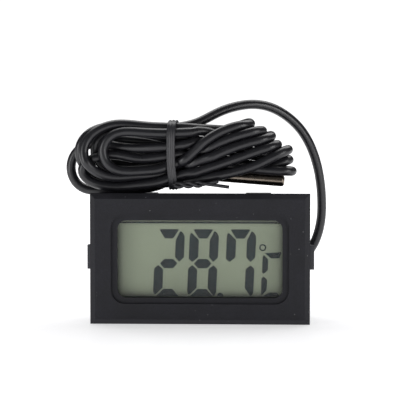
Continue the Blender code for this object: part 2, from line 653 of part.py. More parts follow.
def hank():
    """Outer shape of the folded lead, with a waist at the tie and a step over the probe."""
    left_r = (HANK_TOP - HANK_LOW_LEFT) / 2
    right_r = (HANK_TOP - HANK_LOW_RIGHT) / 2
    left = (HANK_LEFT + left_r, HANK_TOP - left_r)
    right = (HANK_RIGHT - right_r, HANK_TOP - right_r)
    outline = arc_points(left, left_r, pi / 2, 16)
    waist_low = TIE_Z - TIE_HEIGHT / 2 + TIE_THICK + GAP
    waist_high = TIE_Z + TIE_HEIGHT / 2 - TIE_THICK - GAP
    tie_left, tie_right = TIE_X - TIE_WIDTH / 2 - GAP, TIE_X + TIE_WIDTH / 2 + GAP
    outline += [(tie_left, HANK_LOW_LEFT), (tie_left, waist_low)]
    outline += [(tie_right, waist_low), (tie_right, HANK_LOW_RIGHT)]
    outline += arc_points(right, right_r, -pi / 2, 12)
    outline += [(tie_right, HANK_TOP), (tie_right, waist_high)]
    outline += [(tie_left, waist_high), (tie_left, HANK_TOP)]
    add("lead_hank", slab(outline, HANK_Y - HANK_DEPTH / 2, HANK_Y + HANK_DEPTH / 2), PVC)


def twist_tie():
    """Flat band round the hank's waist with its twisted tails in front."""
    low_x, high_x = TIE_X - TIE_WIDTH / 2, TIE_X + TIE_WIDTH / 2
    half_y = HANK_DEPTH / 2 + GAP
    half_z = TIE_HEIGHT / 2
    low = (low_x, HANK_Y - half_y - TIE_THICK, TIE_Z - half_z)
    tie = add("twist_tie", box_mesh(low, (high_x, HANK_Y + half_y + TIE_THICK, TIE_Z + half_z)), RUBBER)
    hole_z = half_z - TIE_THICK
    low = (low_x - TIE_WIDTH, HANK_Y - half_y, TIE_Z - hole_z)
    cut(tie, box_mesh(low, (high_x + TIE_WIDTH, HANK_Y + half_y, TIE_Z + hole_z)))
    start = Vector((TIE_X, HANK_Y - half_y - TIE_THICK / 2 - GAP, TIE_Z - half_z + TAIL_RADIUS))
    end = start + Vector((TAIL_LENGTH, -TIE_THICK, TAIL_RADIUS))
    weld(tie, rod(TAIL_RADIUS, start, end, 10))


def probe():
    """Metal capsule with a blunt nose, its seal, and the sensing bead inside."""
    back = Vector((-cos(PROBE_TILT), 0, sin(PROBE_TILT)))
    nose = Vector((PROBE_END_X, HANK_Y, PROBE_END_Z))
    profile = (
        (PROBE_RADIUS - PROBE_NOSE, 0), (PROBE_RADIUS - PROBE_NOSE * 0.3, PROBE_NOSE * 0.3),
        (PROBE_RADIUS, PROBE_NOSE), (PROBE_RADIUS, PROBE_LENGTH), (PROBE_BORE, PROBE_LENGTH),
        (PROBE_BORE, PROBE_FLOOR),
    )
    add("probe_capsule", turned(profile, nose, back, 32), STEEL, True)
    seal = nose + back * (PROBE_LENGTH + GAP)
    profile = ((PROBE_RADIUS, 0), (PROBE_RADIUS, SEAL_LENGTH * 0.5), (LEAD_RADIUS, SEAL_LENGTH))
    add("probe_seal", turned(profile, seal, back, 24), RUBBER, True)
    bead = nose + back * (PROBE_FLOOR + GAP)
    steps = 8
    angles = [pi * i / steps for i in range(1, steps)]
    profile = [(0, 0)] + [(BEAD_RADIUS * sin(a), BEAD_RADIUS * (1 - cos(a))) for a in angles]
    profile += [(0, 2 * BEAD_RADIUS)]
    add("thermistor_bead", turned(profile, bead, back, 12), EPOXY, True)


def main():
    clear_scene()
    front_case()
    window_and_lcd()
    board_and_parts()
    rear_cover()
    cells_and_contacts()
    battery_door()
    panel_clip(-1, "left")
    panel_clip(1, "right")
    gland_and_cores()
    start = [(GLAND_X, GLAND_TIP + GAP + along, GLAND_Z) for along in (0, LEAD_STRAIGHT)]
    cord("lead", smooth_route([*start, *LEAD_ROUTE], 36), LEAD_RADIUS, PVC)
    hank()
    twist_tie()
    probe()


main()
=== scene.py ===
"""Digital darkroom thermometer: a panel case with a display, and a remote probe on a hanked lead."""

import json
import logging
from dataclasses import dataclass
from enum import Enum

import bpy
import bmesh
import numpy as np
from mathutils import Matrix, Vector

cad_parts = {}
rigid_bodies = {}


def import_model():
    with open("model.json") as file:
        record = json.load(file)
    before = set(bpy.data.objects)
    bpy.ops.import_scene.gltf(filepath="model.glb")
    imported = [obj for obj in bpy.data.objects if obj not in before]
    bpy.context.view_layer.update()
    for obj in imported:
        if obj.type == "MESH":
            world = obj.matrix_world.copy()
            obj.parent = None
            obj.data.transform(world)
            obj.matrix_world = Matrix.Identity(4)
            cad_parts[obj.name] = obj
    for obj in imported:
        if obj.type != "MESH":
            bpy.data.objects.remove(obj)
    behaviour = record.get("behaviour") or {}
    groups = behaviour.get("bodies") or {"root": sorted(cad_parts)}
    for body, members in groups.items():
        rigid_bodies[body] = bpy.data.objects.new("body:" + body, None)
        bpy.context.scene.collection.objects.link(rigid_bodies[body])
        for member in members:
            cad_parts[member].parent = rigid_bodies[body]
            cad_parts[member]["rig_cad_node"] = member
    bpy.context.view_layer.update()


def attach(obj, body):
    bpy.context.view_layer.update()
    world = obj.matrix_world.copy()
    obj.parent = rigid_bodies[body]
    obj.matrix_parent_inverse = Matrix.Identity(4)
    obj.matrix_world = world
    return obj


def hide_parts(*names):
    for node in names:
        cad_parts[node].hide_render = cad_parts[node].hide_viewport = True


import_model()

LOG = logging.getLogger("thermometer")
MM = 0.001


# ---------------------------------------------------------------- colours and nodes


def linear(code: str) -> tuple[float, float, float, float]:
    """Turn a display colour into the linear colour that a shader takes.

    Args:
        code: The sRGB colour as six hex digits.
    Returns:
        Linear red, green, blue and an alpha of 1.
    """
    channels = np.array([int(code[i : i + 2], 16) for i in (0, 2, 4)]) / 255
    low, high = channels / 12.92, ((channels + 0.055) / 1.055) ** 2.4
    return (*np.where(channels <= 0.04045, low, high).tolist(), 1.0)


def add_node(tree: bpy.types.NodeTree, kind: str, *args: object, **values: object) -> bpy.types.Node:
    """Add a shader node and set or link its inputs.

    Args:
        tree: The node tree.
        kind: The node's type without the ShaderNode in front.
        args: Values or sockets for its inputs in order, None to leave one out.
        values: The same by name, with _ for a space, or the node's own settings.
    Returns:
        The new node.
    """
    node = tree.nodes.new("ShaderNode" + kind)
    for name, value in values.items():
        if hasattr(node, name):
            setattr(node, name, value)
    inputs = list(enumerate(args)) + [(n.replace("_", " "), v) for n, v in values.items() if not hasattr(node, n)]
    for name, value in inputs:
        if isinstance(value, bpy.types.NodeSocket):
            tree.links.new(value, node.inputs[name])
        elif value is not None:
            node.inputs[name].default_value = value
    return node


@dataclass(frozen=True)
class Finish:
    """A plain even surface, which the other finishes add to."""

    name: str
    colour: str
    rough: float
    ior: float = 1.5
    metal: float = 0.0
    gloss: float = 0.5

    def pattern(self, tree: bpy.types.NodeTree, shader: bpy.types.Node) -> None:
        """Add what varies over the surface; a plain finish has nothing.

        Args:
            tree: The material's nodes.
            shader: The shader to drive.
        """

    def material(self) -> bpy.types.Material:
        """Build the material once and hand it out again after that."""
        if self.name in bpy.data.materials and bpy.data.materials[self.name].get("finish"):
            return bpy.data.materials[self.name]
        made = bpy.data.materials.new(self.name)
        made["finish"] = True
        made.use_nodes = True
        tree = made.node_tree
        tree.nodes.clear()
        shader = add_node(tree, "BsdfPrincipled", Base_Color=linear(self.colour), Roughness=self.rough,
                          IOR=self.ior, Metallic=self.metal, Specular_IOR_Level=self.gloss)
        add_node(tree, "OutputMaterial", shader.outputs[0])
        self.pattern(tree, shader)
        return made


@dataclass(frozen=True)
class MouldedPlastic(Finish):
    """Spark-eroded mould texture: fine grain, faint cloudy wear and a few specks of dust."""

    grain: float = 0.12
    height: float = 0.010
    clouds: float = 0.10
    dust: float = 0.0

    def pattern(self, tree: bpy.types.NodeTree, shader: bpy.types.Node) -> None:
        """Drive the colour, roughness and normal from object coordinates.

        Args:
            tree: The material's nodes.
            shader: The shader to drive.
        """
        place = add_node(tree, "TexCoord").outputs["Object"]
        grain = add_node(tree, "TexNoise", place, Scale=1 / (self.grain * MM), Detail=3.0, Roughness=0.6)
        cloud = add_node(tree, "TexNoise", place, Scale=1 / (5 * MM), Detail=4.0, Roughness=0.65)
        both = add_node(tree, "Math", cloud.outputs[0], grain.outputs[0], operation="MULTIPLY")
        shade = add_node(tree, "MapRange", both.outputs[0], 0.15, 0.38, 1 - self.clouds, 1 + self.clouds)
        base = add_node(tree, "VectorMath", linear(self.colour)[:3], operation="SCALE")
        tree.links.new(shade.outputs[0], base.inputs["Scale"])
        colour = base.outputs[0]
        rough = add_node(tree, "MapRange", cloud.outputs[0], 0.3, 0.7, self.rough - 0.07, self.rough + 0.07)
        if self.dust:
            cells = add_node(tree, "TexVoronoi", place, Scale=1 / (0.9 * MM), Randomness=1.0)
            dot = add_node(tree, "MapRange", cells.outputs["Distance"], 0.06, 0.15, 1.0, 0.0)
            chance = add_node(tree, "SeparateColor", cells.outputs["Color"])
            rare = add_node(tree, "MapRange", chance.outputs[0], 1 - self.dust, 1.0, 0.0, 1.0)
            speck = add_node(tree, "Math", dot.outputs[0], rare.outputs[0], operation="MULTIPLY")
            mix = add_node(tree, "Mix", data_type="RGBA")
            tree.links.new(speck.outputs[0], mix.inputs["Factor"])
            tree.links.new(colour, mix.inputs[6])
            mix.inputs[7].default_value = linear("8a8a8c")
            colour = mix.outputs[2]
        tree.links.new(colour, shader.inputs["Base Color"])
        tree.links.new(rough.outputs[0], shader.inputs["Roughness"])
        bump = add_node(tree, "Bump", Strength=0.8, Distance=self.height * MM, Height=grain.outputs[0])
        tree.links.new(bump.outputs[0], shader.inputs["Normal"])


@dataclass(frozen=True)
class DrawnMetal(Finish):
    """Drawn or turned metal: streaks along one axis, with faint stains."""

    along: tuple[float, float, float] = (0.06, 1.0, 1.0)
    streak: float = 0.15
    stain: str = "3a342d"
    stained: float = 0.35

    def pattern(self, tree: bpy.types.NodeTree, shader: bpy.types.Node) -> None:
        """Drive the colour and roughness from stretched noise.

        Args:
            tree: The material's nodes.
            shader: The shader to drive.
        """
        place = add_node(tree, "TexCoord").outputs["Object"]
        turned = add_node(tree, "Mapping", place, Scale=self.along)
        lines = add_node(tree, "TexNoise", turned.outputs[0], Scale=1 / (self.streak * MM), Detail=2.0)
        patch = add_node(tree, "TexNoise", place, Scale=1 / (2.5 * MM), Detail=4.0)
        amount = add_node(tree, "MapRange", patch.outputs[0], 0.45, 0.75, 0.0, self.stained)
        mix = add_node(tree, "Mix", data_type="RGBA")
        tree.links.new(amount.outputs[0], mix.inputs["Factor"])
        mix.inputs[6].default_value = linear(self.colour)
        mix.inputs[7].default_value = linear(self.stain)
        tree.links.new(mix.outputs[2], shader.inputs["Base Color"])
        rough = add_node(tree, "MapRange", lines.outputs[0], 0.3, 0.7, self.rough - 0.08, self.rough + 0.12)
        tree.links.new(rough.outputs[0], shader.inputs["Roughness"])


@dataclass(frozen=True)
class ClearPane(Finish):
    """A clear pane that lets lamps through to what lies behind it."""

    tint: str = "ffffff"

    def pattern(self, tree: bpy.types.NodeTree, shader: bpy.types.Node) -> None:
        """Mix a see-through shader with a thin gloss by Fresnel, on the outer side only.

        Args:
            tree: The material's nodes.
            shader: The gloss shader.
        """
        through = add_node(tree, "BsdfTransparent", linear(self.tint))
        edge = add_node(tree, "Fresnel", IOR=self.ior)
        behind = add_node(tree, "NewGeometry").outputs["Backfacing"]
        outside = add_node(tree, "Math", 1.0, behind, operation="SUBTRACT")
        gloss = add_node(tree, "Math", edge.outputs[0], outside.outputs[0], operation="MULTIPLY")
        mix = add_node(tree, "MixShader", gloss.outputs[0], through.outputs[0], shader.outputs[0])
        out = next(n for n in tree.nodes if n.type == "OUTPUT_MATERIAL")
        tree.links.new(mix.outputs[0], out.inputs[0])


@dataclass(frozen=True)
class DisplayBack(Finish):
    """Reflective polariser: an even grey-green with fine silvery grain, with painted shade that darkens it towards
    the window's edges.
    """

    # Colour of the painted shade at the window's edges, where the recess walls shade the sheet.
    edge: str = "5a5d56"
    half: tuple[float, float] = (18.0, 8.3)
    middle: float = 14.3

    def pattern(self, tree: bpy.types.NodeTree, shader: bpy.types.Node) -> None:
        """Paint shade on the sheet by its distance from the window's edge.

        Args:
            tree: The material's nodes.
            shader: The shader to drive.
        """
        place = add_node(tree, "TexCoord").outputs["Object"]
        parts = add_node(tree, "SeparateXYZ", place)
        across = add_node(tree, "Math", parts.outputs[0], operation="ABSOLUTE")
        centred = add_node(tree, "Math", parts.outputs[2], self.middle * MM, operation="SUBTRACT")
        up = add_node(tree, "Math", centred.outputs[0], operation="ABSOLUTE")
        wide, high = self.half
        # Painted shade: the sheet turns to the edge colour within 1.6 mm of the window's sides and 1.5 mm of its
        # top and bottom.
        side = add_node(tree, "MapRange", across.outputs[0], (wide - 1.6) * MM, wide * MM, 0.0, 1.0)
        top = add_node(tree, "MapRange", up.outputs[0], (high - 1.5) * MM, high * MM, 0.0, 1.0)
        edge_shade_mask = add_node(tree, "Math", side.outputs[0], top.outputs[0], operation="MAXIMUM")
        soft = add_node(tree, "Math", edge_shade_mask.outputs[0], 1.7, operation="POWER")
        grain = add_node(tree, "TexNoise", place, Scale=1 / (0.35 * MM), Detail=2.0)
        cloud = add_node(tree, "TexNoise", place, Scale=1 / (12 * MM), Detail=2.0)
        mix = add_node(tree, "Mix", data_type="RGBA")
        tree.links.new(soft.outputs[0], mix.inputs["Factor"])
        mix.inputs[6].default_value = linear(self.colour)
        mix.inputs[7].default_value = linear(self.edge)
        fine = add_node(tree, "Math", grain.outputs[0], 0.12, operation="MULTIPLY")
        broad = add_node(tree, "Math", cloud.outputs[0], 0.25, 0.82, operation="MULTIPLY_ADD")
        both = add_node(tree, "Math", fine.outputs[0], broad.outputs[0], operation="ADD")
        base = add_node(tree, "VectorMath", mix.outputs[2], operation="SCALE")
        tree.links.new(both.outputs[0], base.inputs["Scale"])
        tree.links.new(base.outputs[0], shader.inputs["Base Color"])


# Moulded ABS with a fine spark texture: near-black with a cool cast and no clear gloss.
BLACK_ABS = MouldedPlastic("black_abs_textured", "1c1c22", 0.56, 1.53, gloss=0.3, grain=0.24,
                           height=0.03, clouds=0.3, dust=0.10)
# The spring clips are bare, smoother mouldings, so their edges catch more light.
CLIP_PLASTIC = MouldedPlastic("clip_abs_smooth", "3a3b41", 0.38, 1.53, grain=0.3, height=0.004)
# Polished acrylic window: almost unseen, with one faint clear gloss.
CLEAR_ACRYLIC = ClearPane("clear_acrylic", "ffffff", 0.04, 1.49)
# Display glass under an anti-glare polariser, which takes some light and gives little gloss.
LCD_FRONT = ClearPane("lcd_front_glass", "ffffff", 0.05, 1.30, tint="f2f4f0")
# The polariser behind the liquid crystal: a matt grey-green, with painted shade that darkens it towards the
# window's edges.
LCD_BACK = DisplayBack("lcd_back_sheet", "b2b8a8", 0.55, 1.52, 0.5, edge="7d8177")
# Liquid crystal that is switched on: a dark slate, with no gloss of its own.
LCD_DARK = Finish("lcd_segment_dark", "10262c", 0.6, 1.05)
# Brushed aluminium foil: a soft silver.
REFLECTOR = Finish("reflector_foil", "b9b8b2", 0.30, metal=1.0)
# Unpainted mouldings and boards inside: mid grey, dull pink and solder-mask green, all nearly matt.
GREY_PLASTIC = MouldedPlastic("grey_moulded_frame", "55565a", 0.5)
SILICONE = MouldedPlastic("pink_zebra_silicone", "b58f8a", 0.6, 1.41)
LAMINATE = MouldedPlastic("green_epoxy_laminate", "2d5a36", 0.42, grain=0.4, height=0.01)
# Potting epoxy sets glossy black; fired ceramic is tan with a soft sheen.
EPOXY = Finish("black_blob_epoxy", "131314", 0.28)
CERAMIC = Finish("tan_capacitor_ceramic", "9d7b52", 0.4)
# Bare metals: grey zinc plate, brighter nickel, yellow spring brass and soft-shining tin.
ZINC = DrawnMetal("zinc_plated_steel", "a9abae", 0.32, metal=1.0)
CELL_STEEL = DrawnMetal("nickel_cell_steel", "b7b8b8", 0.24, metal=1.0, stained=0.15)
BRASS = DrawnMetal("spring_brass", "c7a860", 0.28, metal=1.0)
SOLDER = Finish("tin_solder", "b4b6ba", 0.30, metal=1.0)
# Rubber drinks the light; core sheaths are a bright satin red.
RUBBER = MouldedPlastic("black_moulded_rubber", "1c1c1e", 0.62, 1.52, grain=0.2)
CORE_RED = Finish("red_core_pvc", "8e1c1a", 0.42)
# Extruded flexible PVC: a satin sheath that gives one broad soft highlight along the turn.
LEAD_PVC = MouldedPlastic("black_lead_pvc", "1b1b1f", 0.33, 1.53, grain=0.5, height=0.004, clouds=0.15)
# PVC ribbon of the twist tie, a shade greyer than the lead.
TIE_PVC = MouldedPlastic("grey_black_tie_pvc", "29292d", 0.42, 1.53, grain=0.4, height=0.004, dust=0.03)
# Stainless probe tube, dulled by chemistry and handling.
PROBE_STEEL = DrawnMetal("stained_stainless_tube", "877d72", 0.22, metal=1.0, stained=0.25)
# Painted board with a faint sheen, so the case shows in it a little.
FLOOR_WHITE = Finish("studio_floor_white", "f3f3f6", 0.28, 1.45)


class CadPart(Enum):
    """Which finish each plain CAD node wears."""

    front_case = BLACK_ABS
    rear_cover = MouldedPlastic("black_abs_rear", "28282c", 0.52, 1.53)
    battery_door = MouldedPlastic("black_abs_door", "29292d", 0.50, 1.53)
    panel_clip_left = CLIP_PLASTIC
    panel_clip_right = MouldedPlastic("clip_abs_smooth_right", "3a3b41", 0.38, 1.53, grain=0.3, height=0.004)
    window_lens = CLEAR_ACRYLIC
    lcd_front_glass = LCD_FRONT
    lcd_rear_glass = Finish("lcd_rear_glass_clear", "9aa39a", 0.08, 1.52)
    lcd_reflector = REFLECTOR
    lcd_frame = GREY_PLASTIC
    zebra_strip = SILICONE
    circuit_board = LAMINATE
    chip_blob = EPOXY
    capacitor_ = CERAMIC
    resistor_ = Finish("resistor_ceramic", "1d1d20", 0.35)
    board_screw_ = ZINC
    battery_cell_ = CELL_STEEL
    contact_ = BRASS
    door_contact = DrawnMetal("door_spring_brass", "c7a860", 0.28, metal=1.0)
    cord_gland = RUBBER
    lead_core_ = CORE_RED
    solder_joint_ = SOLDER
    thermistor_bead = Finish("bead_epoxy", "3a2a1c", 0.3)


def dress_cad() -> None:
    """Give every CAD node that stays shown the finish of its real material."""
    for part in CadPart:
        for thing in bpy.data.objects:
            if thing.type == "MESH" and thing.get("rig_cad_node") is not None and (
                thing.name == part.name or (part.name.endswith("_") and thing.name.startswith(part.name))
            ):
                for place in thing.material_slots:
                    place.material = part.value.material()


# ---------------------------------------------------------------- surfaces


def make_piece(name: str, points: np.ndarray, faces: list, finish: Finish, smooth: bool = True) -> bpy.types.Object:
    """Make a mesh object that rides the case.

    Args:
        name: The piece's name.
        points: Its vertices in metres, (n, 3).
        faces: Lists of vertex numbers.
        finish: What it is made of.
        smooth: Whether its faces shade as one.
    Returns:
        The object, at the origin, unturned.
    """
    mesh = bpy.data.meshes.new(name)
    mesh.from_pydata(points.tolist(), [], faces)
    tidy = bmesh.new()
    tidy.from_mesh(mesh)
    bmesh.ops.recalc_face_normals(tidy, faces=tidy.faces)
    tidy.to_mesh(mesh)
    tidy.free()
    mesh.polygons.foreach_set("use_smooth", np.full(len(mesh.polygons), smooth))
    mesh.materials.append(finish.material())
    piece = bpy.data.objects.new(name, mesh)
    bpy.context.scene.collection.objects.link(piece)
    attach(piece, "root")
    return piece


def grid_faces(rows: int, around: int, loop: bool, first: int = 0) -> list:
    """Quads of a grid of points that closes on itself sideways.

    Args:
        rows: Number of rings.
        around: Points in a ring.
        loop: Whether the last ring joins the first; otherwise both ends get a cap.
        first: Number of the first vertex.
    Returns:
        Lists of vertex numbers.
    """
    ring = np.arange(rows if loop else rows - 1)[:, None]
    turn = np.arange(around)[None, :]
    after = (ring + 1) % rows
    beside = (turn + 1) % around
    quads = np.stack([ring * around + turn, ring * around + beside, after * around + beside,
                      after * around + turn], -1).reshape(-1, 4) + first
    faces = quads.tolist()
    if not loop:
        faces.append((np.arange(around)[::-1] + first).tolist())
        faces.append((np.arange(around) + (rows - 1) * around + first).tolist())
    return faces


def directions(path: np.ndarray, loop: bool = False) -> np.ndarray:
    """Unit tangents of a line: its neighbours' difference, scaled to 1.

    Args:
        path: Points, (n, 3).
        loop: Whether the line closes on itself.
    Returns:
        Tangents, (n, 3).
    """
    if loop:
        step = np.roll(path, -1, 0) - np.roll(path, 1, 0)
    else:
        step = np.gradient(path, axis=0)
    return step / np.linalg.norm(step, axis=1, keepdims=True)


def even_line(points: np.ndarray, step: float) -> np.ndarray:
    """Lay evenly spaced points on the smooth line through a few given ones.

    Each stretch is a Catmull-Rom cubic, p(t) = a + bt + ct^2 + dt^3 from its four nearest points.

    Args:
        points: The given points, (n, 3).
        step: Wanted spacing in metres.
    Returns:
        Points along the line, (m, 3).
    """
    ends = np.concatenate([2 * points[:1] - points[1:2], points, 2 * points[-1:] - points[-2:-1]])
    a, b, c, d = ends[:-3, None], ends[1:-2, None], ends[2:-1, None], ends[3:, None]
    t = np.linspace(0, 1, 24, endpoint=False)[None, :, None]
    fine = 0.5 * (2 * b + (c - a) * t + (2 * a - 5 * b + 4 * c - d) * t**2 + (3 * b - a - 3 * c + d) * t**3)
    fine = np.concatenate([fine.reshape(-1, 3), points[-1:]])
    along = np.concatenate([[0], np.cumsum(np.linalg.norm(np.diff(fine, axis=0), axis=1))])
    marks = np.linspace(0, along[-1], int(round(along[-1] / step)) + 1)
    return np.stack([np.interp(marks, along, fine[:, k]) for k in range(3)], 1)


def swept(path: np.ndarray, outline: np.ndarray, side: tuple, loop: bool = False) -> np.ndarray:
    """Carry a flat outline along a line: P(i, j) = path_i + u_j s_i + v_j n_i.

    s is the tangent crossed with the side direction, and n is s crossed with the tangent.

    Args:
        path: The line, (n, 3).
        outline: The section's (u, v) points, (m, 2), or one section per path point, (n, m, 2).
        side: A direction that the line never runs along.
        loop: Whether the line closes on itself.
    Returns:
        Vertices, (n * m, 3).
    """
    ahead = directions(path, loop)
    across = np.cross(ahead, np.array(side, float))
    across /= np.linalg.norm(across, axis=1, keepdims=True)
    up = np.cross(across, ahead)
    section = np.broadcast_to(outline, (len(path), *outline.shape[-2:]))
    grid = path[:, None] + section[..., :1] * across[:, None] + section[..., 1:] * up[:, None]
    return grid.reshape(-1, 3)


def turned(profile: np.ndarray, base: tuple, axis: tuple, around: int = 48) -> np.ndarray:
    """Turn a profile about an axis: P(i, a) = base + h_i axis + r_i (cos a s + sin a n).

    Args:
        profile: (height, radius) pairs in metres, (n, 2).
        base: Where height 0 lies.
        axis: Direction of the axis.
        around: Points in a ring.
    Returns:
        Vertices, (n * around, 3).
    """
    ahead = np.array(axis, float) / np.linalg.norm(axis)
    across = np.cross(ahead, (0.0, 1.0, 0.0))
    across /= np.linalg.norm(across)
    up = np.cross(across, ahead)
    angle = np.linspace(0, 2 * np.pi, around, endpoint=False)[None, :, None]
    rim = np.cos(angle) * across + np.sin(angle) * up
    grid = np.array(base) + profile[:, None, :1] * ahead + profile[:, None, 1:] * rim
    return grid.reshape(-1, 3)


def rounded_profile(corners: list, radius: float, steps: int = 5) -> np.ndarray:
    """Round the inner corners of a broken line with parabolas: (1-t)^2 a + 2t(1-t) b + t^2 c.

    Args:
        corners: The line's (height, radius) corners in metres.
        radius: Length cut from each side of a corner, at most 45% of it.
        steps: Points in each rounding.
    Returns:
        Points of the rounded line.
    """
    line = np.array(corners, float)
    before, after = line[:-2] - line[1:-1], line[2:] - line[1:-1]
    reach = [np.minimum(radius, 0.45 * np.linalg.norm(v, axis=1, keepdims=True)) for v in (before, after)]
    start = line[1:-1] + before / np.linalg.norm(before, axis=1, keepdims=True) * reach[0]
    end = line[1:-1] + after / np.linalg.norm(after, axis=1, keepdims=True) * reach[1]
    t = np.linspace(0, 1, steps)[None, :, None]
    bends = (1 - t) ** 2 * start[:, None] + 2 * t * (1 - t) * line[1:-1, None] + t**2 * end[:, None]
    return np.concatenate([line[:1], bends.reshape(-1, line.shape[1]), line[-1:]])


# ---------------------------------------------------------------- studio


@dataclass(frozen=True)
class Studio:
    """Floor, lamps, sky and camera."""

    distance: float = 0.45
    elevation: float = 4.5
    azimuth: float = 2.2
    target: tuple[float, float, float] = (0.0000611, -0.0075892, 0.0273079)
    focal_px: float = 2073.7
    image_px: float = 400.0
    sensor: float = 36.0
    floor_half: float = 0.9
    floor_glow: float = 0.55
    sky: float = 0.10

    def camera(self) -> None:
        """Stand the camera a little above and to the right of the display's middle."""
        el, az = np.radians([self.elevation, self.azimuth])
        back = Vector((np.sin(az) * np.cos(el), -np.cos(az) * np.cos(el), np.sin(el)))
        data = bpy.data.cameras.new("view_camera")
        data.sensor_width = self.sensor
        data.lens = self.focal_px / self.image_px * self.sensor
        data.clip_start = 0.01
        eye = bpy.data.objects.new("view_camera", data)
        eye.location = Vector(self.target) + back * self.distance
        eye.rotation_euler = back.to_track_quat("Z", "Y").to_euler()
        bpy.context.scene.collection.objects.link(eye)
        bpy.context.scene.camera = eye

    def lamp(self, name: str, place: tuple, aim: tuple, size: tuple, power: float) -> None:
        """Hang a soft rectangular lamp.

        Args:
            name: The lamp's name.
            place: Where it hangs, in metres.
            aim: The point it faces.
            size: Its width and height in metres.
            power: Its strength in watts.
        """
        data = bpy.data.lights.new(name, "AREA")
        data.shape = "RECTANGLE"
        data.size, data.size_y = size
        data.energy = power
        lamp = bpy.data.objects.new(name, data)
        lamp.location = place
        lamp.rotation_euler = (Vector(place) - Vector(aim)).to_track_quat("Z", "Y").to_euler()
        bpy.context.scene.collection.objects.link(lamp)

    def backdrop(self) -> None:
        """Surround the scene with white for the camera and softer grey for everything else."""
        bpy.context.scene.view_settings.view_transform = "Standard"
        world = bpy.data.worlds.new("studio_sky")
        bpy.context.scene.world = world
        world.use_nodes = True
        tree = world.node_tree
        tree.nodes.clear()
        seen = add_node(tree, "LightPath").outputs["Is Camera Ray"]
        strength = add_node(tree, "MapRange", seen, 0.0, 1.0, self.sky, 1.1)
        light = add_node(tree, "Background", (1.0, 1.0, 1.0, 1.0), strength.outputs[0])
        add_node(tree, "OutputWorld", light.outputs[0])

    def floor(self) -> None:
        """Lay the pale floor, which glows more with distance, as a backlit table fades to white."""
        half = self.floor_half
        mesh = bpy.data.meshes.new("studio_floor")
        corners = [(-half, -half, 0), (half, -half, 0), (half, half, 0), (-half, half, 0)]
        mesh.from_pydata(corners, [], [(0, 1, 2, 3)])
        made = FLOOR_WHITE.material()
        shader = next(n for n in made.node_tree.nodes if n.type == "BSDF_PRINCIPLED")
        shader.inputs["Emission Color"].default_value = (1.0, 1.0, 1.0, 1.0)
        tree = made.node_tree
        reach = add_node(tree, "VectorMath", add_node(tree, "TexCoord").outputs["Object"], operation="LENGTH")
        fade = add_node(tree, "MapRange", reach.outputs["Value"], 0.04, 0.30, self.floor_glow, 0.95)
        tree.links.new(fade.outputs[0], shader.inputs["Emission Strength"])
        mesh.materials.append(made)
        floor = bpy.data.objects.new("studio_floor", mesh)
        bpy.context.scene.collection.objects.link(floor)

    def build(self) -> None:
        """Set up the whole studio."""
        self.camera()
        self.backdrop()
        self.floor()
        self.lamp("top_softbox", (0.0, 0.30, 0.56), (0.0, 0.0, 0.0), (0.90, 0.50), 4.2)
        self.lamp("left_softbox", (-0.50, -0.42, 0.12), (0.0, 0.0, 0.02), (0.25, 0.25), 1.05)
        self.lamp("right_softbox", (0.50, -0.42, 0.12), (0.0, 0.0, 0.02), (0.25, 0.25), 0.95)


# ---------------------------------------------------------------- lead


@dataclass(frozen=True)
class Turn:
    """One turn of the hank, in millimetres: up from the tie, round the left loop and out to the right bend.

    Heights and depths are those of the strand's middle. A right bend turns over in depth.
    """

    up: tuple[float, float]
    left: tuple[float, float]
    loop: tuple[float, float]
    left_y: float
    low: tuple[float, float]
    bow: tuple[float, float] = (0.0, 0.0)
    tip: tuple[float, float] = (0.0, 0.0)
    start: tuple[float, float] = (0.0, 0.0)
    end_slope: float = 0.0
    front_y: float = -3.0
    back_y: float = 2.2
    climb: float = 1.4


# The turns in the order the lead runs through them; each one's tip is a fold at the right.
HANK_TURNS = (
    Turn(up=(42.39, 1.0), left=(-27.1, 37.23), loop=(6.5, 5.54), left_y=0.6,
         low=(31.8, -1.6), bow=(0.05, -0.16),
         tip=(19.6, 38.2), start=(31.6, 9.02), end_slope=34.0,
         front_y=-3.35, back_y=2.2, climb=2.44),
    Turn(up=(38.24, -2.8), left=(-29.2, 33.57), loop=(4.6, 5.13), left_y=2.0,
         low=(30.4, 1.7), bow=(-0.59, -0.77),
         tip=(20.6, 33.0), start=(36.05, -9.5), end_slope=1.0,
         front_y=-1.59, back_y=2.2, climb=0.6),
    Turn(up=(39.3, 1.6), left=(-22.6, 37.23), loop=(4.5, 2.67), left_y=2.4,
         low=(35.34, 1.8), bow=(-0.19, -0.99),
         tip=(20.0, 35.7), start=(32.6, -0.11), end_slope=27.66,
         front_y=-0.16, back_y=2.93, climb=0.6),
    Turn(up=(40.51, -0.4), left=(-23.4, 37.6), loop=(5.0, 4.7), left_y=-0.6,
         low=(33.5, -0.4), bow=(0.4, -0.26),
         tip=(14.0, 42.1), start=(36.5, 24.0), end_slope=7.33,
         front_y=-3.02, back_y=2.2, climb=0.6),
    Turn(up=(42.86, -1.4), left=(-25.8, 37.5), loop=(8.0, 5.87), left_y=-1.8,
         low=(31.81, -1.6), bow=(-0.31, 0.15),
         tip=(15.9, 40.6), start=(34.92, 16.0), end_slope=8.03,
         front_y=-3.07, back_y=2.23, climb=1.49),
    Turn(up=(36.05, -2.9), left=(-26.6, 33.34), loop=(8.0, 3.6), left_y=-0.8,
         low=(31.15, -3.1), bow=(-0.8, -0.03),
         tip=(17.2, 39.2), start=(32.67, 12.53), end_slope=20.85,
         front_y=-3.0, back_y=2.17, climb=1.4),
    Turn(up=(41.51, -3.2), left=(-21.7, 37.54), loop=(5.2, 4.61), left_y=-3.4,
         low=(33.34, -3.1), bow=(-0.06, -0.03),
         tip=(11.4, 43.0), start=(35.31, 38.08), end_slope=4.0,
         front_y=-2.91, back_y=2.2, climb=1.4),
    Turn(up=(37.42, 1.0), left=(-24.6, 34.16), loop=(4.0, 4.0), left_y=2.4,
         low=(31.7, -0.6), bow=(-1.92, 1.9)),
)


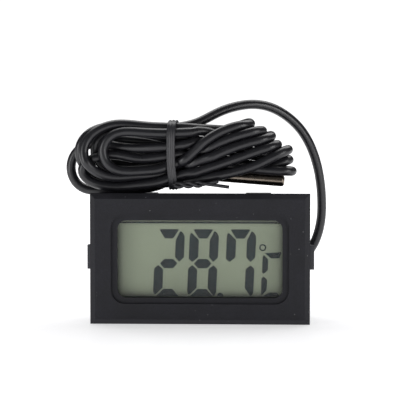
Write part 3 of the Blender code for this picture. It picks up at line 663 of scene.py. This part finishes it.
@dataclass(frozen=True)
class HankedLead:
    """The probe's lead: out of the gland, over the right side in one arch, then a hank of eight turns."""

    exit: tuple[float, float, float] = (0.0172, 0.0120, 0.0080)
    route: tuple = (
        (0.0172, 0.0120, 0.0080), (0.0172, 0.0141, 0.0080), (0.0178, 0.0160, 0.0083), (0.0197, 0.0174, 0.0095),
        (0.0224, 0.0178, 0.0117), (0.0244, 0.0175, 0.0140), (0.0257, 0.0170, 0.0163), (0.0268, 0.0163, 0.0209),
        (0.0269, 0.0154, 0.0256), (0.0265, 0.0143, 0.0302), (0.0255, 0.0132, 0.0348), (0.0236, 0.0118, 0.0395),
        (0.0207, 0.0104, 0.0434), (0.0162, 0.0085, 0.0466), (0.0117, 0.0066, 0.0477), (0.0074, 0.0050, 0.0472),
        (0.0045, 0.0040, 0.0463), (0.0022, 0.0031, 0.0452), (-0.0008, 0.0021, 0.0436),
    )
    radius: float = 0.00105
    step: float = 0.0008
    rounds: int = 260
    seated: float = 0.0009
    tie_x: tuple[float, float] = (-0.0077, -0.0043)
    tie_y: tuple[float, float] = (-0.00330, 0.00210)
    tie_z: tuple[float, float] = (0.0306, 0.0428)
    depth: tuple[float, float] = (-0.0041, 0.0034)
    case_top: float = 0.0275
    probe_tail: tuple[float, float, float] = (-0.0011, -0.0006, 0.0325)
    probe_nose: tuple[float, float, float] = (0.0184, -0.0006, 0.0310)
    probe_radius: float = 0.00125
    seal_length: float = 0.0021

    def turn_points(self, turn: Turn, after: Turn | None) -> np.ndarray:
        """Work out one turn's points.

        The left loop is a half ellipse, x = c - a sin t, z = m + b cos t, and the right bend half a circle
        in depth, y = m - h cos t at tip - r (1 - sin t) along the strand.

        Args:
            turn: The turn.
            after: The turn after it, or None at the end.
        Returns:
            Points in metres, (n, 3).
        """
        (up_z, up_y), (low_z, low_y) = turn.up, turn.low
        (left_x, left_z), (reach, drop) = turn.left, turn.loop
        centre = left_x + reach
        t = np.linspace(0, np.pi, 11)
        blend = np.clip(t / np.pi, 0, 1)
        pull = (up_y - turn.left_y) * (1 - blend) ** 2 + (low_y - turn.left_y) * blend**2
        depth = turn.left_y + 0.35 * pull
        arc = np.stack([centre - reach * np.sin(t), depth, left_z + drop * np.cos(t)], 1)
        middle = (centre - 8.0) / 2
        ahead = [(-8.0, up_y, up_z), (middle, (up_y + arc[0, 1]) / 2, (up_z + arc[0, 2]) / 2 + turn.bow[0])]
        behind = [(middle, (low_y + arc[-1, 1]) / 2, (low_z + arc[-1, 2]) / 2 + turn.bow[1]), (-8.0, low_y, low_z)]
        parts = [np.array(ahead), arc, np.array(behind)]
        if after is not None:
            tip_x, tip_z = turn.tip
            slope0, slope1 = np.tan(np.radians([turn.start[1], turn.end_slope]))
            half = (turn.back_y - turn.front_y) / 2
            run = np.linspace(0, 1, 6)
            end_x = tip_x - half
            span = end_x + 3.9
            end_z = tip_z - slope1 * half * 0.6
            cubic = ((2 * run**3 - 3 * run**2 + 1) * turn.start[0] + (run**3 - 2 * run**2 + run) * slope0 * span
                     + (3 * run**2 - 2 * run**3) * end_z + (run**3 - run**2) * slope1 * span)
            ease = np.minimum(1, run * 2.2)
            front = np.stack([-3.9 + span * run, low_y + (turn.front_y - low_y) * ease, cubic], 1)
            t = np.linspace(0, np.pi, 7)[1:-1]
            bend = np.stack([end_x + half * np.sin(t), turn.front_y + half * (1 - np.cos(t)),
                             end_z + (tip_z - end_z) * np.sin(t)], 1)
            run = np.linspace(0, 1, 5)
            back = np.stack([end_x - span * run,
                             turn.back_y + (after.up[1] - turn.back_y) * run**2,
                             end_z + (after.up[0] - end_z) * (1 - (1 - run) ** turn.climb)], 1)
            parts += [front, bend, back]
        return np.concatenate(parts) * MM

    def raw_route(self) -> np.ndarray:
        """Join the open run, the eight turns and the last stretch into the probe."""
        parts = [np.array(self.route), np.array([(-0.0043, 0.0014, 0.0428)])]
        for turn, after in zip(HANK_TURNS, (*HANK_TURNS[1:], None)):
            parts.append(self.turn_points(turn, after))
        back = np.array(self.probe_tail) - np.array(self.probe_nose)
        back /= np.linalg.norm(back)
        seat = np.array(self.probe_tail) + back * (self.seal_length - 0.0004)
        parts.append(np.stack([seat + back * 0.0022, seat + back * 0.0008, seat]))
        return np.concatenate(parts)

    def relaxed(self, points: np.ndarray) -> np.ndarray:
        """Push strands that meet a diameter apart, mostly in depth, and keep them clear of case, tie and probe.

        Each round moves a point by part of each overlap, p += 0.3 (2r - d) along the line between them, and
        evens out the shifts along the lead, so that its bends keep their shape.

        Args:
            points: Evenly spaced points, (n, 3).
        Returns:
            The same points, moved.
        """
        first = points.copy()
        count = len(points)
        order = np.arange(count)
        apart = np.abs(order[:, None] - order[None]) * self.step > 5 * self.radius
        fixed = (order * self.step < 0.088) | (order > count - 5)
        nose, tail = np.array(self.probe_nose), np.array(self.probe_tail)
        axis = (tail - nose) / np.linalg.norm(tail - nose)
        length = np.linalg.norm(tail - nose) + self.seal_length
        on_probe = order * self.step > (count * self.step - 0.012)
        wanted = 2 * self.radius + 0.00006
        for turn in range(self.rounds):
            if turn % 5 == 0:
                size = (points**2).sum(1)
                square = size[:, None] + size[None] - 2 * points @ points.T
                one, two = np.nonzero(apart & (square < (wanted + 0.0012) ** 2))
            gap = points[one] - points[two]
            far = np.linalg.norm(gap, axis=1) + 1e-9
            push = 0.30 * np.maximum(wanted - far, 0) / far
            move = np.stack([np.bincount(one, push * gap[:, k], count) for k in range(3)], 1) * (0.55, 1.25, 0.55)
            shift = points - first
            if turn < self.rounds - 12:
                move[1:-1] += 0.35 * (shift[2:] + shift[:-2] - 2 * shift[1:-1])
                move -= 0.01 * shift * (1.0, 0.1, 1.0)
            along = np.clip((points - nose) @ axis, 0, length)
            off = points - (nose + along[:, None] * axis)
            reach = np.linalg.norm(off, axis=1) + 1e-9
            room = self.probe_radius + self.radius + 0.0001
            move += np.where(((reach < room) & ~on_probe)[:, None], off * ((room - reach) / reach)[:, None], 0)
            move[fixed] = 0
            points = points + np.clip(move, -0.0004, 0.0004)
            in_tie = (points[:, 0] > self.tie_x[0]) & (points[:, 0] < self.tie_x[1]) & ~fixed
            points[in_tie, 1] = np.clip(points[in_tie, 1], *self.tie_y)
            points[in_tie, 2] = np.clip(points[in_tie, 2], *self.tie_z)
            points[~fixed, 1] = np.clip(points[~fixed, 1], *self.depth)
            low = self.case_top + self.radius + 0.0001
            points[~fixed, 2] = np.maximum(points[~fixed, 2], low)
        return points

    def build(self, probe: list, tie: list) -> bpy.types.Object:
        """Args:
            probe: The pieces at its far end; not used.
            tie: The pieces that hold the hank; not used.
        Returns:
            The curve object.
        """
        line = even_line(self.raw_route(), self.step)
        for _ in range(8):
            line[1:-1] += 0.25 * (line[2:] + line[:-2] - 2 * line[1:-1])
        line = even_line(self.relaxed(line), self.step * 0.75)
        line = np.concatenate([line[:1] + (line[:1] - line[1:2]) * (self.seated / self.step), line])
        data = bpy.data.curves.new("lead_sheath", "CURVE")
        data.dimensions = "3D"
        data.bevel_depth = self.radius
        data.bevel_resolution = 5
        data.use_fill_caps = True
        spline = data.splines.new("POLY")
        spline.points.add(len(line) - 1)
        spline.points.foreach_set("co", np.c_[line, np.ones(len(line))].ravel())
        spline.use_smooth = True
        data.materials.append(LEAD_PVC.material())
        lead = bpy.data.objects.new("lead_sheath", data)
        bpy.context.scene.collection.objects.link(lead)
        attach(lead, "root")
        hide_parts("lead", "lead_hank")
        return lead


@dataclass(frozen=True)
class TwistTie:
    """Ridged ribbon round the hank, its ends twisted together and bent aside."""

    centre: tuple[float, float] = (-0.0006, 0.0367)
    half: tuple[float, float] = (0.00415, 0.00727)
    corner: float = 0.0026
    x: float = -0.0060
    width: float = 0.0019
    thick: float = 0.00052
    ridge: float = 0.00016
    tail_radius: float = 0.00045
    tail_length: float = 0.0060
    twist: float = 9.0

    def band(self) -> bpy.types.Object:
        """Carry the ribbon's section round the hank.

        The loop is a superellipse, |y/a|^n + |z/b|^n = 1, and the ribbon's face rises by
        h cos(2 pi u / 0.8 w) into three ridges along it.
        """
        t = np.linspace(0, 2 * np.pi, 160, endpoint=False)
        power = 2 / 3.6
        y = self.centre[0] + self.half[0] * np.sign(np.cos(t)) * np.abs(np.cos(t)) ** power
        z = self.centre[1] + self.half[1] * np.sign(np.sin(t)) * np.abs(np.sin(t)) ** power
        x = self.x - 0.00045 * np.cos((z - self.centre[1]) / self.half[1] * 1.4) + 0.0002 * np.sin(2 * t)
        loop = np.stack([x, y, z], 1)
        step = np.linalg.norm(np.roll(loop, -1, 0) - loop, axis=1)
        along = np.concatenate([[0], np.cumsum(step)])
        marks = np.linspace(0, along[-1], 200, endpoint=False)
        closed = np.concatenate([loop, loop[:1]])
        even = np.stack([np.interp(marks, along, closed[:, k]) for k in range(3)], 1)
        u = np.linspace(-1, 1, 17)
        face = self.thick / 2 + self.ridge * (0.5 + 0.5 * np.cos(2 * np.pi * u / 0.8)) - 0.00012 * u**8
        inner = -self.thick / 2 + 0.00008 * u**8
        section = np.concatenate([np.stack([face, u * self.width / 2], 1),
                                  np.stack([inner, u * self.width / 2], 1)[::-1]])
        made = make_piece("tie_band", swept(even, section, (1.0, 0.0, 0.0), loop=True),
                          grid_faces(len(even), len(section), True), TIE_PVC)
        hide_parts("twist_tie")
        return made

    def tail(self, name: str, phase: float, end: tuple) -> bpy.types.Object:
        """One end of the ribbon, wound round the other and then splayed.

        Args:
            name: The piece's name.
            phase: Where on the twist it starts, in radians.
            end: Its free end in millimetres.
        Returns:
            The piece.
        """
        t = np.linspace(0, 1, 40)
        angle = phase + self.twist * t
        start = np.array([self.x + 0.0004, self.centre[0] - self.half[0] - 0.0004, 0.0303])
        middle = start + np.stack([t * self.tail_length, -0.0006 * np.sin(t * np.pi), 0.0003 * t], 1)
        wound = middle + self.tail_radius * 0.92 * np.stack([0 * t, np.cos(angle), np.sin(angle)], 1)
        last = np.array(end) * MM
        free = wound[-1] + (last - wound[-1]) * np.linspace(0.3, 1, 4)[:, None]
        path = even_line(np.concatenate([wound[::3], free]), 0.00018)
        around = np.linspace(0, 2 * np.pi, 14, endpoint=False)
        section = self.tail_radius * np.stack([np.cos(around) * 1.15, np.sin(around) * 0.85], 1)
        made = make_piece(name, swept(path, section, (0.05, 0.1, 1.0)),
                          grid_faces(len(path), len(section), False), TIE_PVC)
        return made

    def build(self) -> list:
        """Make the band and both tails."""
        return [self.band(), self.tail("tie_tail_long", 0.0, (6.3, -5.1, 29.95)),
                self.tail("tie_tail_short", np.pi, (3.9, -5.6, 31.2))]


@dataclass(frozen=True)
class Probe:
    """Steel capsule over the sensor, with a rubber seal where the lead goes in."""

    nose: tuple[float, float, float] = (0.0184, -0.0006, 0.0310)
    tail: tuple[float, float, float] = (-0.0011, -0.0006, 0.0325)
    length: float = 0.0195
    radius: float = 0.00125
    bore: float = 0.00095
    seal: float = 0.0021

    def build(self) -> list:
        """Turn the capsule and its seal.

        The nose is a quarter circle, r = R sin t, h = R' (1 - cos t), and the crimp a dip of 0.1 mm.
        """
        axis = tuple(np.array(self.tail) - np.array(self.nose))
        t = np.linspace(0.02, np.pi / 2, 12)
        cap = np.stack([0.0006 * (1 - np.cos(t)), self.radius * (0.35 + 0.65 * np.sin(t))], 1)
        cap[0, 1] *= 0.5
        wall = rounded_profile([(0.0006, self.radius), (0.0150, self.radius), (0.0154, self.radius - 0.00012),
                                (0.0160, self.radius - 0.00012), (0.0164, self.radius),
                                (self.length, self.radius), (self.length, self.bore + 0.00004),
                                (0.0178, self.bore + 0.00004)], 0.00022)
        outline = np.concatenate([cap, wall[1:]])
        capsule = make_piece("probe_tube", turned(outline, self.nose, axis),
                             grid_faces(len(outline), 48, False), PROBE_STEEL)
        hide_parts("probe_capsule")
        collar = rounded_profile([(0.0, 0.0003), (0.0, self.radius), (self.seal * 0.35, self.radius),
                                  (self.seal, 0.00112), (self.seal, 0.00106), (self.seal - 0.0001, 0.0003)], 0.0002)
        collar[:, 0] += self.length + 0.00002
        seal = make_piece("probe_end_seal", turned(collar, self.nose, axis),
                          grid_faces(len(collar), 48, False), RUBBER)
        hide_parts("probe_seal")
        return [capsule, seal]


# ---------------------------------------------------------------- display


class Segment(Enum):
    """Outlines of a digit's seven segments, in millimetres right of and above its top middle."""

    TOP = ((-2.34, -0.10), (-2.13, 0.0), (1.72, 0.0), (1.85, -0.18), (0.67, -2.0), (-1.16, -2.0))
    HIGH_RIGHT = ((2.23, -0.39), (2.75, -0.77), (3.16, -1.46), (3.16, -2.36), (2.98, -6.16), (1.95, -7.14),
                  (1.05, -6.11), (1.21, -2.36))
    HIGH_LEFT = ((-2.80, -0.77), (-1.21, -2.31), (-1.36, -6.16), (-2.64, -7.16), (-3.41, -6.52), (-3.26, -2.62),
                 (-3.11, -1.08))
    MIDDLE = ((-2.26, -7.52), (-1.31, -6.55), (0.64, -6.55), (1.54, -7.50), (0.64, -8.57), (-1.36, -8.57))
    LOW_RIGHT = ((1.98, -7.91), (2.82, -8.73), (2.57, -13.91), (2.16, -14.63), (1.85, -14.58), (0.72, -12.89),
                 (0.92, -8.73))
    LOW_LEFT = ((-2.64, -7.91), (-1.57, -8.83), (-1.72, -12.89), (-3.18, -14.32), (-3.52, -14.32),
                (-3.77, -13.66), (-3.54, -8.68))
    BOTTOM = ((-3.11, -15.2), (-1.51, -13.14), (0.44, -13.14), (1.77, -15.2))


class Digit(Enum):
    """Segments that are on in each digit shown."""

    TWO = (Segment.TOP, Segment.HIGH_RIGHT, Segment.MIDDLE, Segment.LOW_LEFT, Segment.BOTTOM)
    EIGHT = tuple(Segment)
    SEVEN = (Segment.TOP, Segment.HIGH_RIGHT, Segment.HIGH_LEFT, Segment.LOW_RIGHT)


@dataclass(frozen=True)
class Display:
    """What the liquid crystal shows: three digits, a point and a degree unit."""

    front: float = -0.00418
    back: float = -0.00412
    top: float = 0.0206
    digits: tuple = ((-0.0066, Digit.TWO), (0.00088, Digit.EIGHT), (0.00903, Digit.SEVEN))
    lowest: float = 0.00585
    sheet: tuple[float, float, float] = (0.0188, 0.0058, 0.0228)
    film_y: tuple[float, float] = (-0.00404, -0.00394)
    # Painted shadow: a dark strip in the segments' finish just below the window's top edge, where the gap under the
    # lens's top step lies in shade.
    shadow_strip: tuple[float, float, float] = (0.0188, 0.02190, 0.02222)
    point: tuple[float, float, float] = (4.34, 5.94, 0.70)
    degree: tuple[float, float, float, float] = (13.66, 16.63, 0.77, 0.47)
    unit: tuple = (
        ((0.44, -1.21), (4.11, -1.03), (3.65, -2.31), (1.85, -2.36)),
        ((0.23, -1.59), (1.21, -2.62), (1.13, -4.93), (0.23, -5.78), (-0.13, -5.44), (0.0, -2.10)),
        ((0.23, -6.39), (1.0, -7.11), (0.87, -9.29), (-0.15, -10.5), (-0.36, -10.19), (-0.26, -6.80)),
        ((0.0, -10.9), (1.46, -9.88), (3.13, -9.88), (3.60, -10.9)),
    )

    def slab(self, name: str, outline: np.ndarray) -> bpy.types.Object:
        """Make one thin segment: P(i, k) = (x_i, y_k, z_i) at the front and the back.

        Args:
            name: The piece's name.
            outline: Its (x, z) corners in metres.
        Returns:
            The piece.
        """
        outline = np.stack([outline[:, 0], np.maximum(outline[:, 1], self.lowest)], 1)
        points = np.concatenate([np.insert(outline, 1, y, axis=1) for y in (self.front, self.back)])
        made = make_piece(name, points, grid_faces(2, len(outline), False), LCD_DARK, smooth=False)
        return made

    def film(self) -> bpy.types.Object:
        """Make the polariser film that the segments show against, a flat sheet behind the whole window."""
        half_x, low, high = self.sheet
        corners = np.array([(-half_x, low), (half_x, low), (half_x, high), (-half_x, high)])
        points = np.concatenate([np.insert(corners, 1, y, axis=1) for y in self.film_y])
        made = make_piece("polariser_film", points, grid_faces(2, 4, False), LCD_BACK, smooth=False)
        return made

    def build(self) -> None:
        """Make the film, a dark strip of painted shadow under the window's top edge, and every lit segment."""
        self.film()
        # A dark strip of painted shadow along the top of the window, in the segments' finish.
        side, low, high = self.shadow_strip
        self.slab("segment_border", np.array([(-side, low), (side, low), (side, high), (-side, high)]))
        for place, (x, digit) in enumerate(self.digits):
            for number, part in enumerate(digit.value):
                self.slab(f"segment_{place + 1}_{number + 1}", np.array(part.value) * MM + (x, self.top))
        t = np.linspace(0, 2 * np.pi, 40, endpoint=False)
        ring = np.stack([np.cos(t), np.sin(t)], 1)
        x, z, radius = np.array(self.point) * MM
        self.slab("segment_point", ring * radius + (x, z))
        x, z, outer, inner = np.array(self.degree) * MM
        rings = [np.insert(ring * r + (x, z), 1, y, axis=1)
                 for r, y in ((outer, self.front), (outer, self.back), (inner, self.back), (inner, self.front))]
        made = make_piece("segment_degree", np.concatenate(rings), grid_faces(4, 40, True), LCD_DARK, smooth=False)
        for number, part in enumerate(self.unit):
            self.slab(f"segment_unit_{number + 1}", np.array(part) * MM + (x, z))


@dataclass(frozen=True)
class SeamLip:
    """Lip of the rear cover that stands inside the case wall and closes the seam between them."""

    x: tuple[float, float] = (0.0208, 0.0212)
    y: tuple[float, float] = (0.0052, 0.0063)
    spans: tuple = ((0.0029, 0.0104), (0.0186, 0.0257))

    def build(self) -> None:
        """Make a low and a high strip on each side, clear of the clips: a box from its eight corners."""
        for side, sign in (("left", -1), ("right", 1)):
            for level, (low, high) in zip(("low", "high"), self.spans):
                near, far = sign * self.x[0], sign * self.x[1]
                corners = np.array([(near, low), (far, low), (far, high), (near, high)])
                points = np.concatenate([np.insert(corners, 1, y, axis=1) for y in self.y])
                made = make_piece(f"seam_lip_{side}_{level}", points, grid_faces(2, 4, False),
                                  CadPart.rear_cover.value, smooth=False)


def main() -> None:
    """Build the studio, then the lead and its fittings, then the case and display."""
    logging.basicConfig(level=logging.INFO, format="%(message)s")
    Studio().build()
    LOG.info("studio ready")
    probe = Probe().build()
    LOG.info("probe: %d pieces", len(probe))
    tie = TwistTie().build()
    LOG.info("tie: %d pieces", len(tie))
    HankedLead().build(probe, tie)
    dress_cad()
    SeamLip().build()
    LOG.info("case dressed")
    Display().build()


if __name__ == "__main__":
    main()
